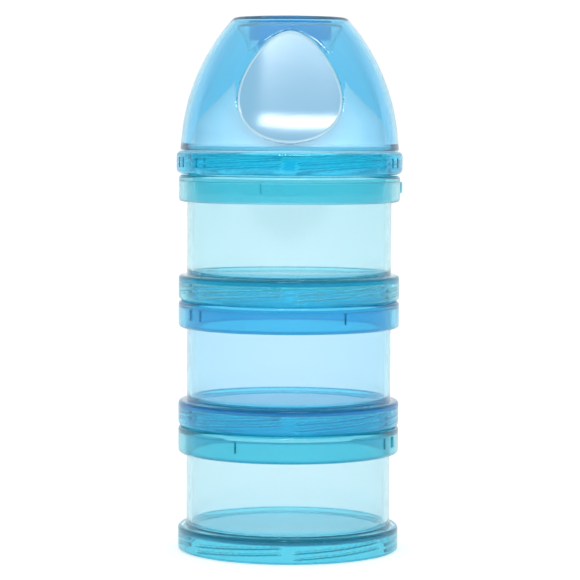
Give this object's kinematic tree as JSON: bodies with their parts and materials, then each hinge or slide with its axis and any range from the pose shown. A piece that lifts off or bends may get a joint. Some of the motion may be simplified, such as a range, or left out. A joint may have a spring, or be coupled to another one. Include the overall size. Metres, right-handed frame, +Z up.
{
  "type": "formula dispenser",
  "caption": "Stack of clear round screw-together jars for milk powder, with a funnel pouring lid and a domed push-on overcap with egg-shaped finger scoops.",
  "frame": {"origin": "centre of the bounding box's underside, on the stack's axis at the bottom jar's foot", "axes": "+Z up the stack, -Y towards the front grip pad, +X to the right seen from the front"},
  "size_m": [0.0766, 0.0766, 0.1802],
  "materials": {
    "aqua_jar": "clear aqua-tinted polypropylene, glossy",
    "blue_jar": "clear blue-tinted polypropylene, glossy",
    "lid": "clear sky-blue polypropylene, glossy",
    "funnel": "milky translucent polypropylene, glossy",
    "cap": "clear sky-blue polypropylene, glossy",
    "plug": "clear sky-blue soft plastic, glossy",
    "pad": "satin pale blue",
    "seal": "translucent white silicone"
  },
  "bodies": {
    "base": {"bottom_jar": "aqua_jar"},
    "lower_ring": {"lower_seal": "seal"},
    "middle": {"middle_jar": "blue_jar"},
    "middle_ring": {"middle_seal": "seal"},
    "top": {"top_jar": "aqua_jar"},
    "upper_ring": {"upper_seal": "seal"},
    "lid": {"lid_ring": "lid", "pour_funnel": "funnel"},
    "cap": {"overcap": "cap", "spout_plug": "plug", "front_grip_pad": "pad", "rear_grip_pad": "pad"}
  },
  "joints": [
    {"name": "lower_rise", "type": "slide", "parent": "base", "child": "lower_ring", "axis": [0, 0, 1], "range_m": [0, 0.0061]},
    {"name": "lower_screw", "type": "hinge", "parent": "lower_ring", "child": "middle", "pos_m": [0, 0, 0], "axis": [0, 0, 1], "range_deg": [0, 180]},
    {"name": "middle_rise", "type": "slide", "parent": "middle", "child": "middle_ring", "axis": [0, 0, 1], "range_m": [0, 0.0061]},
    {"name": "middle_screw", "type": "hinge", "parent": "middle_ring", "child": "top", "pos_m": [0, 0, 0], "axis": [0, 0, 1], "range_deg": [0, 180]},
    {"name": "upper_rise", "type": "slide", "parent": "top", "child": "upper_ring", "axis": [0, 0, 1], "range_m": [0, 0.0061]},
    {"name": "upper_screw", "type": "hinge", "parent": "upper_ring", "child": "lid", "pos_m": [0, 0, 0], "axis": [0, 0, 1], "range_deg": [0, 180]},
    {"name": "cap_lift", "type": "slide", "parent": "lid", "child": "cap", "axis": [0, 0, 1], "range_m": [0, 0.06]}
  ],
  "couplings": [
    {"joint": "lower_rise", "follows": "lower_screw", "m_per_rad": 0.0019099},
    {"joint": "middle_rise", "follows": "middle_screw", "m_per_rad": 0.0019099},
    {"joint": "upper_rise", "follows": "upper_screw", "m_per_rad": 0.0019099}
  ]
}
